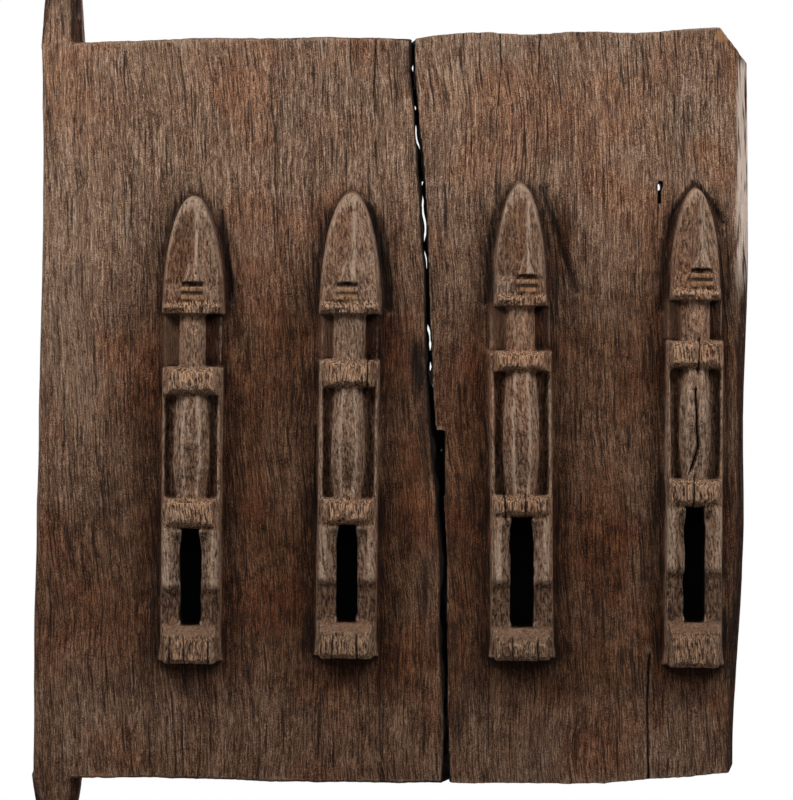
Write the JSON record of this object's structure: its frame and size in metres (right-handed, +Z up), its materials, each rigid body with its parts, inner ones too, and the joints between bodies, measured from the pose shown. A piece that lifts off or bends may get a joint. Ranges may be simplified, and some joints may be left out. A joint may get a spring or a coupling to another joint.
{
  "type": "carved granary door",
  "caption": "Hewn wooden granary door leaf carved with a row of standing figures in relief, split along its length, turning on pivots grown from one edge.",
  "frame": {"origin": "middle of the lower pivot's round journal, on the pivot axis", "axes": "+Z up along the pivot axis, +X from the pivots towards the free edge, carved face towards -Y"},
  "size_m": [0.4995, 0.0585, 0.6425],
  "materials": {
    "carved_wood": "hewn, weathered and smoke-darkened, matte",
    "forged_iron": "hand-forged, rusted, rough"
  },
  "bodies": {
    "root": {"left_plank": "carved_wood", "right_plank": "carved_wood", "upper_staple": "forged_iron", "middle_staple": "forged_iron", "lower_staple": "forged_iron"}
  },
  "joints": []
}
